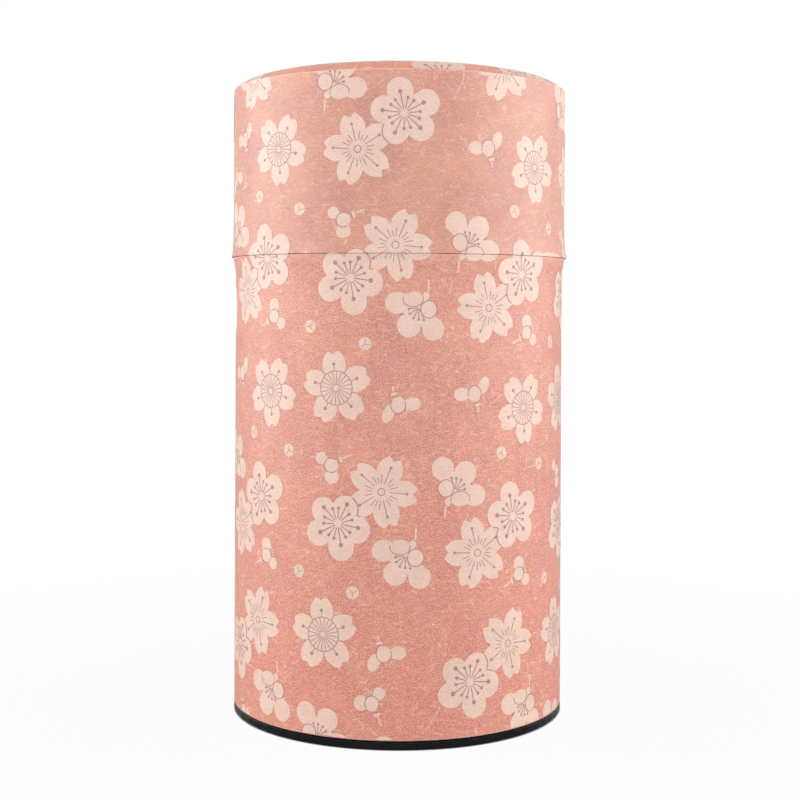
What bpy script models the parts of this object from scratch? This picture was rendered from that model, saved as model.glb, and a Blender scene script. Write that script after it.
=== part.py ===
"""A round tea tin covered in patterned paper, with a slip-on outer lid and an inner lid.

Every piece is turned about the tin's axis. The tin stands on the plane z = 0, with +Z up.
The body's pieces are drawn from the table up, the outer lid's pieces from the lid's lower
edge up, and the inner lid's pieces from the plane of the neck's rim, up and down.
"""
import math

import bmesh
import bpy

MM = 0.001

# The tin as a whole
body_radius = 40.4 * MM       # outside of the body's paper
body_height = 110.6 * MM      # from the table to the body's upper edge
lid_step = 0.6 * MM           # how far the lid stands out past the body
lid_height = 40.7 * MM        # from the lid's lower edge to the edge of its crown
crown_rise = 3.6 * MM         # from the edge of the crown to its middle
crown_power = 8               # a high power keeps the middle of the crown flat

# Sheet and clearances
tin_sheet = 0.3 * MM
paper = 0.22 * MM
glue_gap = 0.25 * MM          # between paper and the sheet under it
seat_gap = 0.3 * MM           # between pieces that rest on each other
slide_gap = 0.3 * MM          # between pieces that slide in each other

# Edges at the joint of body and lid
flare_height = 4.5 * MM       # both edges swell over this height
body_flare = 0.7 * MM
lid_flare = 0.5 * MM
hem_height = 3.0 * MM         # folded edge inside the lid's lower end
hem_slope = 0.6 * MM          # height over which the hem runs out

# Bottom plate
seam_height = 1.9 * MM        # the rolled rim that shows below the paper
seam_round = 0.5 * MM         # round of the rim's lower outer edge
seam_bevel = 0.25 * MM        # bevel of the rim's other edges
panel_recess = 2.9 * MM       # from the table to the underside of the panel
bead_depth = 0.5 * MM         # height of the ring pressed into a flat panel
base_bead_share = 0.78        # middle of that ring, as a share of the panel's radius
bead_width = 2.4 * MM

# Neck and inner lid
lid_headroom = 8.7 * MM       # from the neck's rim to the edge of the lid's crown
plug_depth = 8.0 * MM         # how far the inner lid's panel lies below the neck's rim
plug_round = 1.2 * MM         # round between the plug's wall and its panel
top_flange = 4.5 * MM         # depth of the crown's flange inside the lid
pan_bead_share = 0.7          # middle of the pressed ring, as a share of the plug's radius

# Knob and rivet
knob_radius = 9.0 * MM
knob_stand = 3.5 * MM         # how far the knob stands up past the neck's rim
rivet_radius = 1.4 * MM
rivet_head_radius = 2.8 * MM
rivet_head_height = 0.8 * MM
rivet_reach = 5.0 * MM        # how far the rivet goes up into the knob

# Facets round the axis
tin_facets = 60
knob_facets = 36
rivet_facets = 24

# Radii and heights that follow
lid_radius = body_radius + lid_step
body_shell_radius = body_radius - paper - glue_gap
sleeve_radius = body_shell_radius - tin_sheet - glue_gap
sleeve_bore = sleeve_radius - tin_sheet
lid_shell_radius = lid_radius - paper - glue_gap
lid_shell_bore = lid_shell_radius - tin_sheet
hem_bore = sleeve_radius + slide_gap
neck_height = lid_height + seat_gap - lid_headroom
lid_foot = body_height + seat_gap
neck_rim = body_height + neck_height
plug_radius = sleeve_bore - slide_gap
rivet_hole = rivet_radius + slide_gap

# The crown's rings as shares of the lid's radius
crown_shares = (0.45, 0.68, 0.82, 0.91, 0.965, 1.0)
# The knob's outline as shares of its radius and of its height
knob_shares = ((0.56, 0.0), (0.56, 0.06), (0.42, 0.14), (0.4, 0.42), (0.54, 0.56), (0.88, 0.63),
               (1.0, 0.72), (1.0, 0.84), (0.93, 0.92), (0.74, 0.98), (0.4, 1.0))


def clear_scene():
    for item in list(bpy.data.objects):
        bpy.data.objects.remove(item, do_unlink=True)


def linear(channel):
    """One channel of a screen colour as the renderer's linear value."""
    return channel / 12.92 if channel <= 0.04045 else ((channel + 0.055) / 1.055) ** 2.4


def material(name, colour, roughness, metallic=0.0):
    made = bpy.data.materials.new(name)
    made.use_nodes = True
    shader = made.node_tree.nodes["Principled BSDF"]
    rgba = [linear(channel) for channel in colour] + [1.0]
    shader.inputs["Base Color"].default_value = rgba
    shader.inputs["Roughness"].default_value = roughness
    shader.inputs["Metallic"].default_value = metallic
    made.diffuse_color = rgba
    return made


def turned(name, outline, finish, parent=None, facets=tin_facets):
    """A solid turned about the axis. An outline that starts at radius 0 also ends there."""
    mesh = bpy.data.meshes.new(name)
    shape = bmesh.new()
    points = [shape.verts.new((radius, 0.0, height)) for radius, height in outline]
    edges = [shape.edges.new(pair) for pair in zip(points, points[1:])]
    if outline[0][0] > 0.0:
        edges.append(shape.edges.new((points[-1], points[0])))
    bmesh.ops.spin(shape, geom=points + edges, cent=(0, 0, 0), axis=(0, 0, 1),
                   angle=2 * math.pi, steps=facets, use_merge=True)
    bmesh.ops.remove_doubles(shape, verts=shape.verts, dist=0.01 * seat_gap)
    bmesh.ops.recalc_face_normals(shape, faces=shape.faces)
    shape.to_mesh(mesh)
    shape.free()
    mesh.shade_smooth()
    mesh.set_sharp_from_angle(angle=math.radians(30))
    mesh.materials.append(finish)
    piece = bpy.data.objects.new(name, mesh)
    piece.parent = parent
    bpy.context.scene.collection.objects.link(piece)
    return piece


def pivot(name, height):
    """An empty on the axis that carries the pieces of one lid."""
    empty = bpy.data.objects.new(name, None)
    empty.location = (0.0, 0.0, height)
    bpy.context.scene.collection.objects.link(empty)
    return empty


def corner(centre_radius, centre_height, size, start, stop, steps=3):
    """Points of a round corner, from one angle to another, in degrees."""
    angles = [math.radians(start + (stop - start) * step / steps) for step in range(steps + 1)]
    return [(centre_radius + size * math.cos(a), centre_height + size * math.sin(a)) for a in angles]


def bead(middle, level):
    """A ring pressed up in a flat panel, as outline points from the inside out."""
    half = bead_width / 2
    return [(middle - half, level), (middle - half / 2, level + bead_depth),
            (middle + half / 2, level + bead_depth), (middle + half, level)]


def crown(radius):
    """Height of the crown's outer face above the lid's lower edge."""
    return lid_height + crown_rise * (1.0 - (radius / lid_radius) ** crown_power)


def crown_sheet(reach, top_drop, thickness):
    """Upper and lower faces of a sheet that follows the crown out to a radius."""
    rings = [0.0] + [share * reach for share in crown_shares]
    upper = [(radius, crown(radius) - top_drop) for radius in rings]
    lower = [(radius, crown(radius) - top_drop - thickness) for radius in rings]
    return upper, lower


def base_plate(finish):
    wall = sleeve_bore - slide_gap
    bore = wall - tin_sheet
    top = panel_recess + tin_sheet
    ring = base_bead_share * bore
    under = [(0.0, panel_recess)] + bead(ring, panel_recess) + [(bore, panel_recess)]
    foot = [(bore, seam_bevel), (bore + seam_bevel, 0.0)]
    foot += corner(body_radius - seam_round, seam_round, seam_round, -90, 0)
    rim = [(body_radius, seam_height - seam_bevel), (body_radius - seam_bevel, seam_height)]
    over = [(wall, seam_height), (wall, top)] + bead(ring, top)[::-1] + [(0.0, top)]
    turned("base_plate", under + foot + rim + over, finish)


def body_shell(finish):
    low = seam_height + seat_gap
    top = body_height - paper - glue_gap
    bore = body_shell_radius - tin_sheet
    outline = [(bore, low), (body_shell_radius, low), (body_shell_radius, top - flare_height),
               (body_shell_radius + body_flare, top), (bore, top)]
    turned("body_shell", outline, finish)


def inner_sleeve(finish):
    low = seam_height + seat_gap
    outline = [(sleeve_bore, low), (sleeve_radius, low), (sleeve_radius, neck_rim),
               (sleeve_bore, neck_rim)]
    turned("inner_sleeve", outline, finish)


def body_paper(finish):
    low = seam_height + glue_gap
    swell = body_height - flare_height
    inside = body_radius - paper
    turn_in = sleeve_radius + slide_gap
    outline = [(inside, low), (body_radius, low), (body_radius, swell),
               (body_radius + body_flare, body_height - paper),
               (body_radius + body_flare - paper, body_height), (turn_in, body_height),
               (turn_in, body_height - paper), (inside + body_flare, body_height - paper),
               (inside, swell)]
    turned("body_paper", outline, finish)


def lid_shell(finish, parent):
    low = paper + glue_gap
    top = lid_height - paper - glue_gap - tin_sheet - seat_gap
    outline = [(hem_bore, low), (lid_shell_radius + lid_flare, low),
               (lid_shell_radius, low + flare_height), (lid_shell_radius, top),
               (lid_shell_bore, top), (lid_shell_bore, low + hem_height + hem_slope),
               (hem_bore, low + hem_height)]
    turned("lid_shell", outline, finish, parent)


def lid_paper(finish, parent):
    top = lid_height - paper - glue_gap
    inside = lid_radius - paper
    outline = [(hem_bore, paper), (hem_bore, 0.0), (lid_radius + lid_flare - paper, 0.0),
               (lid_radius + lid_flare, paper), (lid_radius, flare_height), (lid_radius, top),
               (inside, top), (inside, flare_height), (inside + lid_flare, paper)]
    turned("lid_paper", outline, finish, parent)


def lid_top_plate(finish, parent):
    upper, lower = crown_sheet(lid_shell_radius, paper + glue_gap, tin_sheet)
    outside = lid_shell_bore - slide_gap
    inside = outside - tin_sheet
    low = lid_height - top_flange
    under = -paper - glue_gap - tin_sheet
    flange = [(outside, crown(outside) + under), (outside, low), (inside, low),
              (inside, crown(inside) + under)]
    rings = [point for point in lower[::-1] if point[0] < inside]
    turned("lid_top_plate", upper + lower[-1:] + flange + rings, finish, parent)


def lid_top_paper(finish, parent):
    upper, lower = crown_sheet(lid_radius, 0.0, paper)
    turned("lid_top_paper", upper + lower[::-1], finish, parent)


def inner_lid_pan(finish, parent):
    level = -plug_depth
    ring = pan_bead_share * plug_radius
    bore = plug_radius - tin_sheet
    top = seat_gap + 2 * tin_sheet
    centre = plug_radius - plug_round
    rim = [(sleeve_radius, seat_gap), (sleeve_radius, top), (bore, top)]
    inside = corner(centre, level + plug_round, plug_round - tin_sheet, 0, -90)
    panel = bead(ring, level + tin_sheet)[::-1] + [(rivet_hole, level + tin_sheet)]
    under = [(rivet_hole, level)] + bead(ring, level)
    outside = corner(centre, level + plug_round, plug_round, -90, 0) + [(plug_radius, seat_gap)]
    turned("inner_lid_pan", rim + inside + panel + under + outside, finish, parent)


def inner_lid_knob(finish, parent):
    foot = -plug_depth + tin_sheet + seat_gap
    height = knob_stand - foot
    bore_top = foot + rivet_reach + slide_gap
    outside = [(knob_radius * across, foot + height * up) for across, up in knob_shares]
    outline = [(0.0, bore_top), (rivet_hole, bore_top), (rivet_hole, foot)] + outside
    turned("inner_lid_knob", outline + [(0.0, knob_stand)], finish, parent, knob_facets)


def knob_rivet(finish, parent):
    head_top = -plug_depth - seat_gap
    head_low = head_top - rivet_head_height
    tip = -plug_depth + tin_sheet + seat_gap + rivet_reach
    outline = [(0.0, head_low), (rivet_head_radius - rivet_head_height / 2, head_low),
               (rivet_head_radius, head_low + rivet_head_height / 2),
               (rivet_head_radius, head_top), (rivet_radius, head_top), (rivet_radius, tip),
               (0.0, tip)]
    turned("knob_rivet", outline, finish, parent, rivet_facets)


def build():
    clear_scene()
    enamel = material("black_enamel", (0.12, 0.125, 0.14), 0.25)
    body_washi = material("body_washi", (0.9, 0.62, 0.55), 0.8)
    lid_washi = material("lid_washi", (0.91, 0.66, 0.6), 0.8)
    top_washi = material("top_washi", (0.89, 0.63, 0.56), 0.8)
    body_tin = material("body_tinplate", (0.74, 0.74, 0.72), 0.34, 1.0)
    sleeve_tin = material("sleeve_tinplate", (0.8, 0.8, 0.78), 0.26, 1.0)
    lid_tin = material("lid_tinplate", (0.76, 0.76, 0.74), 0.32, 1.0)
    crown_tin = material("crown_tinplate", (0.77, 0.77, 0.75), 0.3, 1.0)
    pan_tin = material("pan_tinplate", (0.8, 0.79, 0.76), 0.28, 1.0)
    knob_enamel = material("knob_enamel", (0.13, 0.12, 0.12), 0.3)
    rivet_steel = material("rivet_steel", (0.7, 0.69, 0.67), 0.35, 1.0)

    base_plate(enamel)
    body_shell(body_tin)
    inner_sleeve(sleeve_tin)
    body_paper(body_washi)

    outer_lid = pivot("outer_lid_axis", lid_foot)
    lid_shell(lid_tin, outer_lid)
    lid_top_plate(crown_tin, outer_lid)
    lid_paper(lid_washi, outer_lid)
    lid_top_paper(top_washi, outer_lid)

    inner_lid = pivot("inner_lid_axis", neck_rim)
    inner_lid_pan(pan_tin, inner_lid)
    inner_lid_knob(knob_enamel, inner_lid)
    knob_rivet(rivet_steel, inner_lid)


build()
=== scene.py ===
"""The looks of a round tea tin: printed washi over tin, a slip-on outer lid and an inner lid.

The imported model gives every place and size. The papers are laid on two skins, one round the
body and one round the lid, and on the crown. The printed blossoms are drawn flat in
millimetres, repeated as on the roll of paper, cut at the paper's edges and laid on a skin.
The tin pieces that an open tin shows are turned again with round lips and smooth walls.
"""
import math
import random
from functools import partial

import bmesh
import bpy
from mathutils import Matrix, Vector


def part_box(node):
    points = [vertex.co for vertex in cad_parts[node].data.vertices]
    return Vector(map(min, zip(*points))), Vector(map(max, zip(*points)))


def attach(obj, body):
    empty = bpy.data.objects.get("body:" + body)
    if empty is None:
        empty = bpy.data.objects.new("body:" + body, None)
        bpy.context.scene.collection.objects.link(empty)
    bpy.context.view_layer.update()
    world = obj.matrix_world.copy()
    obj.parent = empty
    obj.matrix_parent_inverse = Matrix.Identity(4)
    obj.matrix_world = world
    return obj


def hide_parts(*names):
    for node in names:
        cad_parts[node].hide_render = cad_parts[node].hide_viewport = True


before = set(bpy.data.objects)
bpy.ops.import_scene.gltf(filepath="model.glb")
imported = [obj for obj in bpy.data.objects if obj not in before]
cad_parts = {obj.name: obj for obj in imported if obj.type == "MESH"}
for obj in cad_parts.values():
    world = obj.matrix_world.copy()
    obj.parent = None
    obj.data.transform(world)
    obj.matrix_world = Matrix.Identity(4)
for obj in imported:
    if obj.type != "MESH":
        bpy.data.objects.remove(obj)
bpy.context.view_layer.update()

MM = 0.001

# The photograph's frame, in its own pixels, and the camera that fits it
photo_side = 800
horizon_column = 398.7
horizon_row = 305.5
focal_pixels = 1481.4
joint_row = 255.0           # the joint of body and lid, at the middle of the tin
camera_back = 370.0 * MM
camera_height = 99.1 * MM
camera_roll = 0.0043
sensor_width = 36.0

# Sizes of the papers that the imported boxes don't give by themselves
paper = 0.22 * MM
edge_round = 0.14 * MM      # round of the paper where it turns in at the joint
crease_round = 0.1 * MM     # round of the side paper where it meets the crown
joint_draw = 0.135 * MM     # how far each paper reaches into the slit at the joint
crease_draw = 0.68 * MM     # how far the side paper reaches up round the crown's rim
crown_clear = 0.02 * MM     # the crown's paper ends just inside the side paper
turned_in_by = 0.5 * MM     # how far the paper goes on past its round at the joint
swell_height = 7.5 * MM     # height over which the edges at the joint swell
swell_power = 3
overlap_width = 8.0 * MM    # the paper laps over itself at the back
overlap_rise = 0.14 * MM
overlap_ramp = 2.5          # how many times the rise fits in the overlap's width
dent_depth = 0.3 * MM       # a slight hollow below the joint at the left
dent_angle = math.radians(-88)
dent_spread = math.radians(16)
dent_low, dent_low_fade = 92.0 * MM, 3.0 * MM
dent_high, dent_high_fade = 105.0 * MM, 4.0 * MM
crown_power = 9
crown_curl = 0.85
pale_foot_strip = 0.26 * MM       # pale strip along the paper's lower edge, painted as a highlight like its pale cut edge
paper_steps = 288           # columns round a paper
inner_drop = 0.3 * MM       # the side paper's inner face ends this far below its top
foot_band = 2.0 * MM        # where the body paper's even rows start above its foot
even_end, dent_rows = 90.0 * MM, 91.0 * MM  # where they end, and where the hollow's start
flat_share = 0.6            # the crown's paper has wide rings up to this share of its radius
rim_drop, rim_corner = 0.3, (0.08, 0.05)    # its rim's round, as shares of the paper

# The tin pieces under the paper
tin_sheet = 0.3 * MM
slide_gap = 0.3 * MM        # between pieces that slide in each other
plug_round = 1.2 * MM       # round between the inner lid's wall and its panel
bead_share = 0.7            # middle of that panel's ring, as a share of the wall's radius
bead_half = 1.2 * MM
bead_depth = 0.5 * MM
rivet_hole = 1.7 * MM
knob_bore = 5.3 * MM
hem_height = 3.0 * MM       # folded edge inside the lid's lower end
hem_slope = 0.6 * MM
lid_swell = 4.5 * MM        # height over which the lid's tube swells
tin_steps, knob_steps = 240, 96
sharp_edge = math.radians(38)
paper_weld, tin_weld = 1e-7, 1e-6       # points nearer than this count as one
# The knob's outline as shares of its radius and of its height
knob_shares = ((0.56, 0.0), (0.56, 0.06), (0.42, 0.14), (0.4, 0.42), (0.54, 0.56), (0.88, 0.63),
               (1.0, 0.72), (1.0, 0.84), (0.93, 0.92), (0.74, 0.98), (0.4, 1.0), (0.0, 1.0))

# The studio
floor_radius = 6.0
contact_width = 0.15 * MM   # dark line where the tin stands
shadow_reach, shadow_white = (0.05, 0.25), 0.96
lamp_aim, lamp_white = (0.0, 0.0, 0.1), (1.0, 0.995, 0.985)

# Heights of the layers above the paper
strand_lift = 0.012 * MM
petal_lift = 0.028 * MM
ink_lift = 0.044 * MM
layer_step = 0.0008 * MM
upper_lift = 0.032 * MM     # added for a blossom that lies over another

# The roll of paper: one repeat to the right round the tin, in millimetres
repeat_along = 65.6
repeat_up = -3.6
blossom_reach = 9.5
cherry_near = 15.0          # a plum may lie over a cherry that is nearer than this
pattern_radius = 40.7 * MM
half_round = math.pi * pattern_radius / MM
seam_clear = 0.02           # the prints end this near to the paper's own ends
print_clear = 0.1 * MM      # and this far inside its turned edges
wrinkle_shade_offset = 0.26         # how far left of the wrinkle's painted highlight its painted shade line lies
# Widths of the wrinkle's painted highlight, of its painted shade line and of the fibres
wrinkle_highlight_width, wrinkle_shade_width, fibre_width = 0.34, 0.19, 0.15

# How the drawings are made and cut, in millimetres
stroke_step = 0.8
least_reach = 0.3
cut_near = 1e-5
fan_step = 1.1              # widest ring of faces in a petal
line_over = 0.24            # line round a blossom that lies over another
# Layer steps that keep the marks of one drawing off each other
pale_above, dots_above, line_above = 3, 5, 9
wrinkle_above, fibres_above = 6, 7

# Loose hairs: how many and the seed of their draw, and their shape in millimetres
body_hairs, lid_hairs, crown_hairs = (3400, 11), (1500, 17), (420, 23)
hair_step = 0.35
hair_heading, upright_share = 0.6, 0.25
hair_bend, hair_wander = 0.45, 0.22
hair_shortest, hair_longer, hair_longest, longest_share = 0.9, 2.6, 5.0, 0.05
broad_longer, broad_share = 3.0, 0.02
broad_width, fine_width = (0.16, 0.24), (0.05, 0.1)

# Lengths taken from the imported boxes
base_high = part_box("base_plate")[1]
body_low, body_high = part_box("body_paper")
side_low, side_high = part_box("lid_paper")
top_low, top_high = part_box("lid_top_paper")
sleeve_low, sleeve_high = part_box("inner_sleeve")
pan_low, pan_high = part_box("inner_lid_pan")
knob_low, knob_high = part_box("inner_lid_knob")
shell_low, shell_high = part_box("lid_shell")
body_radius = base_high.x
body_flare = body_high.x - body_radius
body_height = body_high.z
body_foot = body_low.z
lid_radius = top_high.x
lid_flare = side_high.x - lid_radius
lid_foot = side_low.z
crown_edge = top_low.z + paper
crown_rise = top_high.z - crown_edge
side_top = side_high.z + crease_draw
crown_rim = lid_radius - paper - crown_clear
sleeve_radius = sleeve_high.x
turn_in = sleeve_radius + slide_gap     # inner radius of all that slides on the neck
# Heights at which a paper starts to turn in
body_turn_start = body_height + joint_draw - edge_round
low_turn_start = lid_foot - joint_draw + edge_round
high_turn_start = side_top - crease_round

# Where the blossoms lie in the photograph: kind, column, row, turn in degrees
blossoms = {
    "cherry_at_crease": ("cherry", 503.7, 66.3, 32),
    "side_plum_at_crease": ("side_plum", 334.3, 83.6, 1),
    "ring_cherry_on_lid": ("ring_cherry", 278.7, 149.4, 59),
    "cherry_on_lid": ("cherry", 357.6, 148.9, 32),
    "plum_on_lid": ("plum", 404.4, 112.8, 29),
    "bee_on_lid": ("bee", 488.2, 148.8, 1),
    "bud_left_on_lid": ("bud", 259.8, 196.7, -10),
    "bud_on_lid": ("bud", 299.6, 209.0, 142),
    "long_bee_on_lid": ("long_bee", 344.2, 219.6, 99),
    "cherry_at_joint": ("cherry", 395.5, 244.8, -5),
    "plum_at_joint": ("low_plum", 350.1, 277.6, -8),
    "side_plum_at_joint": ("side_plum", 469.1, 245.3, 1),
    "cherry_below_joint": ("cherry", 489.0, 307.9, 31),
    "plum_over_joint": ("plum", 521.5, 274.8, 30),
    "side_plum_hanging": ("side_plum", 419.0, 307.2, 183),
    "long_bee_upper": ("long_bee", 526.1, 332.9, -80),
    "bud_upper_left": ("bud", 310.3, 326.3, 90),
    "bud_upper": ("bud", 365.1, 343.7, 130),
    "ring_cherry_upper_right": ("ring_cherry", 523.2, 407.7, 58),
    "ring_cherry_upper": ("ring_cherry", 336.1, 388.0, 24),
    "bee_upper": ("bee", 398.4, 404.4, 184),
    "bee_upper_right": ("bee", 474.4, 394.4, 1),
    "bud_middle_right": ("bud", 501.4, 452.8, -24),
    "bud_middle_left": ("bud", 289.1, 450.2, 135),
    "long_bee_middle": ("long_bee", 332.0, 465.1, 102),
    "cherry_middle": ("cherry", 381.3, 492.0, -4),
    "plum_middle": ("low_plum", 337.8, 523.4, -9),
    "side_plum_middle": ("side_plum", 455.4, 490.7, 0),
    "cherry_middle_right": ("cherry", 477.5, 552.7, 33),
    "plum_middle_right": ("plum", 512.7, 515.9, 30),
    "side_plum_lower": ("side_plum", 405.6, 555.5, 182),
    "long_bee_lower": ("long_bee", 518.2, 574.1, -79),
    "bud_lower_left": ("bud", 299.0, 570.7, 150),
    "bud_lower": ("bud", 352.6, 592.9, 176),
    "cherry_lower_right": ("cherry", 507.7, 643.3, -3),
    "plum_lower_right": ("low_plum", 469.9, 681.5, -6),
    "ring_cherry_lower": ("ring_cherry", 322.9, 634.3, 22),
    "bee_lower": ("bee", 383.8, 653.6, 184),
    "side_plum_low_right": ("side_plum", 524.2, 702.9, 186),
    "side_plum_at_foot": ("side_plum", 317.5, 736.4, 1),
    "long_bee_at_foot": ("long_bee", 371.9, 704.7, 8),
    "long_bee_left_at_foot": ("long_bee", 243.6, 710.4, 178),
    "plum_at_foot": ("low_plum", 383.5, 766.8, 18),
}
# Two more that aren't repeated round the tin, at the left of the lid
single_blossoms = {
    "cherry_left_of_crease": ("cherry", 254.3, 75.9, 35),
    "bee_at_left_limb": ("bee", 237.4, 178.3, 180),
}
unrepeated = {"cherry_at_crease": -1}

# Small marks on the lid, as columns and rows: the cut end of a petal, a wrinkle, long fibres.
# The wrinkle is drawn as a painted highlight with a painted shade line beside it.
petal_end = ((541.0, 253.0), (546.0, 252.3), (551.0, 252.6), (556.0, 254.0), (559.0, 256.4),
             (559.0, 259.0), (541.0, 259.0))
wrinkle = ((463.9, 72.5), (463.2, 79.0), (460.2, 86.0), (456.8, 93.5))
long_fibres = {
    "below_wrinkle": ((441.0, 99.6), (452.0, 98.6), (463.0, 98.9), (474.0, 98.2)),
    "right_upper": ((507.5, 116.4), (516.0, 115.8), (526.0, 116.6)),
    "right_lower": ((508.5, 122.8), (517.0, 122.0), (525.0, 122.6)),
    "beside_plum": ((447.0, 84.0), (452.0, 90.5), (455.5, 98.0)),
}

# Where the crown's sheet was cut from the roll, and its turn in degrees
crown_along = -17.0
crown_up = 93.0
crown_turn = 40


def plug(tree, made, inputs):
    """Sets a node's inputs, each to a plain value or to another node's output."""
    for name, value in inputs.items():
        if isinstance(value, bpy.types.NodeSocket):
            tree.links.new(value, made.inputs[name])
        else:
            made.inputs[name].default_value = value


def node(tree, kind, inputs=None, **settings):
    made = tree.nodes.new("ShaderNode" + kind)
    for name, value in settings.items():
        setattr(made, name, value)
    plug(tree, made, inputs or {})
    return made


def maths(tree, operation, first, second=0.0, clamp=False):
    return node(tree, "Math", {0: first, 1: second}, operation=operation,
                use_clamp=clamp).outputs[0]


def times(tree, first, second):
    return maths(tree, "MULTIPLY", first, second)


def plus(tree, first, second, clamp=False):
    return maths(tree, "ADD", first, second, clamp)


def spread(tree, value, low, high, out_low=0.0, out_high=1.0):
    """Maps a value from one range to another, with smooth and clamped ends."""
    return node(tree, "MapRange", {"Value": value, "From Min": low, "From Max": high,
                "To Min": out_low, "To Max": out_high}, interpolation_type="SMOOTHSTEP").outputs[0]


def off_level(tree, value, level):
    return maths(tree, "ABSOLUTE", maths(tree, "SUBTRACT", value, level))


def noise(tree, place, scale, detail=2.0, roughness=0.5, distortion=0.0):
    return node(tree, "TexNoise", {"Vector": place, "Scale": scale, "Detail": detail,
                "Roughness": roughness, "Distortion": distortion}).outputs["Fac"]


def tint(tree, share, first, second):
    """A colour between two colours."""
    return node(tree, "Mix", {0: share, 6: first, 7: second},
                data_type="RGBA").outputs[2]


def object_place(tree):
    return node(tree, "TexCoord").outputs["Object"]


def split(tree, place):
    return node(tree, "SeparateXYZ", {0: place}).outputs


def distance_out(tree, place):
    return node(tree, "VectorMath", {0: place}, operation="LENGTH").outputs["Value"]


def stretched(tree, place, turn, stretch):
    return node(tree, "Mapping", {"Vector": place, "Rotation": (0.0, 0.0, turn),
                "Scale": (stretch, 1.0, 1.0)}).outputs[0]


def bump(tree, height, distance):
    return node(tree, "Bump", {"Height": height, "Distance": distance}).outputs["Normal"]


def linear(channel):
    return channel / 12.92 if channel <= 0.04045 else ((channel + 0.055) / 1.055) ** 2.4


def colour(red, green, blue):
    """A screen colour, 0 to 255, as the renderer's linear colour."""
    return tuple(linear(channel / 255) for channel in (red, green, blue)) + (1.0,)


def set_shader(tree, **sockets):
    plug(tree, tree.nodes["Principled BSDF"],
         {name.replace("_", " "): value for name, value in sockets.items()})


def new_material(name, **sockets):
    made = bpy.data.materials.new(name)
    made.use_nodes = True
    set_shader(made.node_tree, **sockets)
    return made, made.node_tree


def new_paper(name, roughness, sheen, gloss):
    return new_material(name, Roughness=roughness, Sheen_Weight=sheen, Sheen_Roughness=0.5,
                        Sheen_Tint=(1.0, 0.97, 0.95, 1.0), Specular_IOR_Level=gloss)


def sheet_place(tree, flat):
    """Places in metres: on the sheet, unrolled from the tin or flat on the crown, and in space."""
    place = object_place(tree)
    if flat:
        return place, place
    parts = split(tree, place)
    turn = maths(tree, "ARCTAN2", parts["X"], times(tree, parts["Y"], -1.0))
    return node(tree, "CombineXYZ", {"X": times(tree, turn, pattern_radius),
                "Y": parts["Z"]}).outputs[0], place


def fibres(tree, place, scale, stretch, turn, width, cover, wander):
    """Short curled hairs: the lines where a noise crosses its middle, broken up by a second."""
    value = noise(tree, stretched(tree, place, turn, stretch), scale, 1.0, 0.4, wander)
    line = spread(tree, off_level(tree, value, 0.5), 0.0, width, 1.0, 0.0)
    broken = spread(tree, noise(tree, place, scale * 0.8, 1.0), 1.0 - cover, 1.04 - cover)
    return times(tree, line, broken)


def washi_relief(tree, place):
    """The paper's grain, its crepe and its curled hairs, as shares from 0 to 1."""
    grain = noise(tree, place, 2500, 2.0, 0.6)
    crepe = noise(tree, stretched(tree, place, 0.0, 0.38), 1500, 2.0, 0.6, 0.8)
    curls = fibres(tree, place, 420, 0.8, 0.3, 0.022, 0.47, 1.6)
    hairs = fibres(tree, place, 300, 0.35, -0.15, 0.014, 0.46, 0.9)
    return grain, crepe, maths(tree, "MAXIMUM", curls, hairs)


def grained(tree, tone, grain, crepe, depth):
    """The same tone, a little lighter and darker with the grain and the crepe."""
    both = plus(tree, times(tree, grain, 0.68), times(tree, crepe, 0.32))
    value = spread(tree, both, 0.34, 0.66, 1.0 - depth, 1.0 + depth)
    return node(tree, "HueSaturation", {"Value": value, "Color": tone}).outputs[0]


def washi(name, deep, fair, depth, fleck, gloss, sheen, flat=False, edge=None, joint_light_level=None,
          foot=None):
    """Pink printed washi: uneven tone, pale speckle and hairs, with painted light and shade.

    Along the edge height a patchy painted highlight is laid; near the joint height the paper
    is painted paler, as painted light against the shade under the lid's flare; the foot tone
    is painted in towards the bottom, as painted shade.
    """
    made, tree = new_paper(name, 0.42, sheen, gloss)
    place, spot = sheet_place(tree, flat)
    height = split(tree, spot)["Z"]
    grain, crepe, hairs = washi_relief(tree, place)
    tone = tint(tree, spread(tree, noise(tree, place, 62, 3.0, 0.6, 0.4), 0.36, 0.64), deep, fair)
    # Painted shade: a deeper, more saturated tone towards the bottom, for the weaker reflected light there
    if foot:
        tone = tint(tree, spread(tree, height, 0.0, low_shade_reach, low_shade_share, 0.0), tone, foot)
    # Painted light: paler near the joint, against the shade under the lid's flare
    if joint_light_level:
        near = spread(tree, off_level(tree, height, joint_light_level), 0.0, joint_light_reach, joint_light_share, 0.0)
        tone = tint(tree, near, tone, pale_and_painted_light_pink)
    warm = spread(tree, noise(tree, place, 150, 2.0, 0.6), 0.42, 0.66, 0.0, 0.25)
    tone = tint(tree, warm, tone, warm_patch)
    cool = spread(tree, noise(tree, place, 180, 2.0, 0.6, 0.5), 0.48, 0.68, 0.0, 0.24)
    tone = tint(tree, cool, tone, cool_patch)
    tone = grained(tree, tone, grain, crepe, depth)
    speckle = spread(tree, noise(tree, place, 3100, 1.0), 0.48, 0.66, 0.0, fleck)
    pale = plus(tree, speckle, spread(tree, crepe, 0.54, 0.74, 0.0, 0.35), clamp=True)
    tone = tint(tree, pale, tone, pale_and_painted_light_pink)
    tone = tint(tree, times(tree, hairs, 0.55), tone, hair_and_highlight_pink)
    # Painted highlight: paler patches along the edge, where the rounded paper catches light
    if edge:
        near = spread(tree, off_level(tree, height, edge), 0.0, edge_highlight_reach, 1.0, 0.0)
        patchy = spread(tree, noise(tree, place, 900, 2.0), 0.35, 0.6, 0.0, 0.45)
        tone = tint(tree, times(tree, near, patchy), tone, hair_and_highlight_pink)
    relief = plus(tree, times(tree, grain, 0.45),
                  plus(tree, times(tree, crepe, 0.5), times(tree, hairs, 0.35)))
    set_shader(tree, Base_Color=tone, Normal=bump(tree, relief, paper_relief))
    return made


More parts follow.
